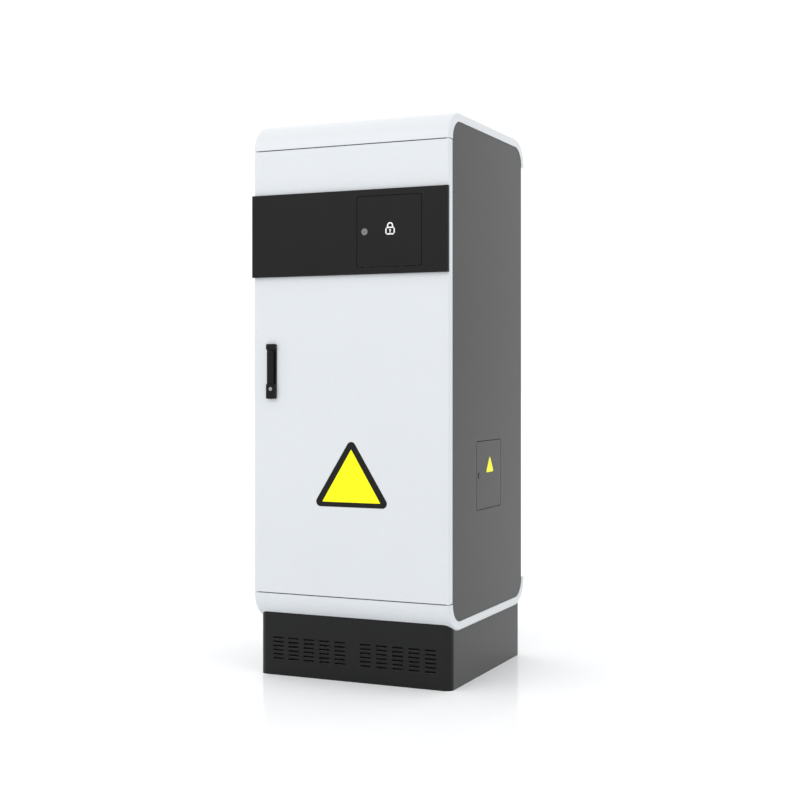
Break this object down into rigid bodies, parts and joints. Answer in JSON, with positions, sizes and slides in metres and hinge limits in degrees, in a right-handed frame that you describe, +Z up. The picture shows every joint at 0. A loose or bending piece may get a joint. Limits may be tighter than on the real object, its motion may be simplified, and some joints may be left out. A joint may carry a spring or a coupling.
{
  "type": "traffic signal controller cabinet",
  "caption": "Free-standing roadside cabinet with rounded caps, a hinged front door with a swing handle, dark side panels and a slotted plinth, housing racks of signal control equipment.",
  "frame": {"origin": "on the floor at the centre of the anchor bolts", "axes": "+Z up, +X to the right as seen from the front, +Y to the back"},
  "size_m": [0.6, 0.6133, 1.562],
  "materials": {
    "white_paint": "satin powder coat",
    "dark_paint": "fine sanded powder coat",
    "band_black": "satin moulding",
    "handle_black": "textured moulding",
    "lock_metal": "satin nickel",
    "zinc_steel": "zinc plated sheet",
    "latch_steel": "drawn bar",
    "gasket_rubber": "foamed seal",
    "gland_plastic": "moulded",
    "guide_plastic": "moulded",
    "rack_aluminium": "anodised",
    "module_face": "anodised face plates",
    "control_metal": "brushed and anodised",
    "button_green": "moulded",
    "button_amber": "moulded",
    "button_red": "moulded",
    "knob_black": "moulded",
    "fan_black": "moulded",
    "plate_galvanised": "galvanised sheet",
    "device_grey": "moulded",
    "toggle_black": "moulded",
    "surge_cream": "moulded",
    "terminal_grey": "moulded",
    "earth_brass": "drawn bar",
    "lamp_white": "frosted lens",
    "socket_blue": "moulded"
  },
  "bodies": {
    "cabinet": {"plinth_front_panel": "dark_paint", "plinth_rear_panel": "dark_paint", "plinth_cheeks": "dark_paint", "top_cap": "white_paint", "bottom_cap": "white_paint", "left_side_panel": "dark_paint", "right_side_panel": "dark_paint", "rear_panel": "dark_paint", "gland_plate": "plate_galvanised", "mounting_plate": "plate_galvanised", "din_rails": "zinc_steel", "cable_glands": "gland_plastic", "corner_posts": "zinc_steel", "cross_rails": "zinc_steel", "side_arms": "zinc_steel", "rack_rails": "zinc_steel", "door_pivots": "latch_steel", "inlet_box": "zinc_steel", "power_inlet": "socket_blue", "controller_rack": "rack_aluminium", "controller_modules": "module_face", "driver_rack": "rack_aluminium", "driver_modules": "module_face", "fan_tray": "rack_aluminium", "fan_frames": "fan_black", "main_breaker": "device_grey", "branch_breakers": "device_grey", "surge_arrester": "surge_cream", "terminal_strips": "terminal_grey", "earth_bar": "earth_brass", "cabinet_lamp": "lamp_white"},
    "door": {"door_panel": "white_paint", "pivot_blocks": "latch_steel", "door_gasket": "gasket_rubber", "door_channels": "zinc_steel", "document_pocket": "white_paint", "fascia_band": "band_black", "control_box": "zinc_steel", "control_plate": "control_metal", "handle_base": "handle_black", "latch_gearbox": "latch_steel", "rod_guides": "guide_plastic"},
    "handle": {"handle_hub": "latch_steel"},
    "lever": {"handle_lever": "handle_black"},
    "key_cylinder": {"lock_cylinder": "lock_metal"},
    "upper_latch_rod": {"upper_rod": "latch_steel"},
    "lower_latch_rod": {"lower_rod": "latch_steel"},
    "flap": {"control_flap": "band_black"},
    "flap_cam_lock": {"flap_lock": "lock_metal"},
    "button_1": {"push_button_1": "button_green"},
    "button_2": {"push_button_2": "button_amber"},
    "button_3": {"push_button_3": "button_red"},
    "mode_switch": {"mode_knob": "knob_black"},
    "hatch": {"hatch_door": "dark_paint"},
    "hatch_cam_lock": {"hatch_lock": "lock_metal"},
    "left_fan": {"fan_rotor_left": "fan_black"},
    "right_fan": {"fan_rotor_right": "fan_black"},
    "main_lever": {"main_toggle": "toggle_black"},
    "branch_lever_1": {"branch_toggle_1": "toggle_black"},
    "branch_lever_2": {"branch_toggle_2": "toggle_black"}
  },
  "joints": [
    {"name": "door_swing", "type": "hinge", "parent": "cabinet", "child": "door", "pos_m": [0.293, -0.2925, 0.85925], "axis": [0, 0, 1], "range_deg": [0, 115]},
    {"name": "handle_turn", "type": "hinge", "parent": "door", "child": "handle", "pos_m": [-0.24, -0.306, 0.9095], "axis": [0, -1, 0], "range_deg": [0, 90]},
    {"name": "lever_lift", "type": "hinge", "parent": "handle", "child": "lever", "pos_m": [-0.24, -0.3098, 0.9165], "axis": [-1, 0, 0], "range_deg": [0, 35]},
    {"name": "key_turn", "type": "hinge", "parent": "door", "child": "key_cylinder", "pos_m": [-0.24, -0.311, 0.811], "axis": [0, -1, 0], "range_deg": [0, 90]},
    {"name": "upper_rod_slide", "type": "slide", "parent": "door", "child": "upper_latch_rod", "axis": [0, 0, 1], "range_m": [0, 0.028]},
    {"name": "lower_rod_slide", "type": "slide", "parent": "door", "child": "lower_latch_rod", "axis": [0, 0, -1], "range_m": [0, 0.028]},
    {"name": "flap_swing", "type": "hinge", "parent": "door", "child": "flap", "pos_m": [0.2165, -0.3075, 1.2405], "axis": [0, 0, 1], "range_deg": [0, 100]},
    {"name": "flap_lock_turn", "type": "hinge", "parent": "flap", "child": "flap_cam_lock", "pos_m": [0.0545, -0.311, 1.2405], "axis": [0, 1, 0], "range_deg": [0, 90]},
    {"name": "button_1_press", "type": "slide", "parent": "door", "child": "button_1", "axis": [0, 1, 0], "range_m": [0, 0.003], "stiffness_N_per_m": 400},
    {"name": "button_2_press", "type": "slide", "parent": "door", "child": "button_2", "axis": [0, 1, 0], "range_m": [0, 0.003], "stiffness_N_per_m": 400},
    {"name": "button_3_press", "type": "slide", "parent": "door", "child": "button_3", "axis": [0, 1, 0], "range_m": [0, 0.003], "stiffness_N_per_m": 400},
    {"name": "mode_turn", "type": "hinge", "parent": "door", "child": "mode_switch", "pos_m": [0.0795, -0.266, 1.2725], "axis": [0, -1, 0], "range_deg": [-45, 45]},
    {"name": "hatch_swing", "type": "hinge", "parent": "cabinet", "child": "hatch", "pos_m": [0.2935, 0.0855, 0.5665], "axis": [0, 0, 1], "range_deg": [0, 100]},
    {"name": "hatch_lock_turn", "type": "hinge", "parent": "hatch", "child": "hatch_cam_lock", "pos_m": [0.2985, -0.073, 0.5665], "axis": [-1, 0, 0], "range_deg": [0, 90]},
    {"name": "left_fan_spin", "type": "hinge", "parent": "cabinet", "child": "left_fan", "pos_m": [-0.105, -0.1, 1.38], "axis": [0, 0, 1], "continuous": true},
    {"name": "right_fan_spin", "type": "hinge", "parent": "cabinet", "child": "right_fan", "pos_m": [0.105, -0.1, 1.38], "axis": [0, 0, 1], "continuous": true},
    {"name": "main_toggle_throw", "type": "hinge", "parent": "cabinet", "child": "main_lever", "pos_m": [-0.16, 0.0805, 0.72215], "axis": [1, 0, 0], "range_deg": [0, 60]},
    {"name": "branch_toggle_1_throw", "type": "hinge", "parent": "cabinet", "child": "branch_lever_1", "pos_m": [-0.1, 0.0805, 0.72215], "axis": [1, 0, 0], "range_deg": [0, 60]},
    {"name": "branch_toggle_2_throw", "type": "hinge", "parent": "cabinet", "child": "branch_lever_2", "pos_m": [-0.07, 0.0805, 0.72215], "axis": [1, 0, 0], "range_deg": [0, 60]}
  ],
  "couplings": [
    {"joint": "handle_turn", "follows": "upper_rod_slide", "rad_per_m": 56.1},
    {"joint": "lower_rod_slide", "follows": "upper_rod_slide", "ratio": 1}
  ]
}
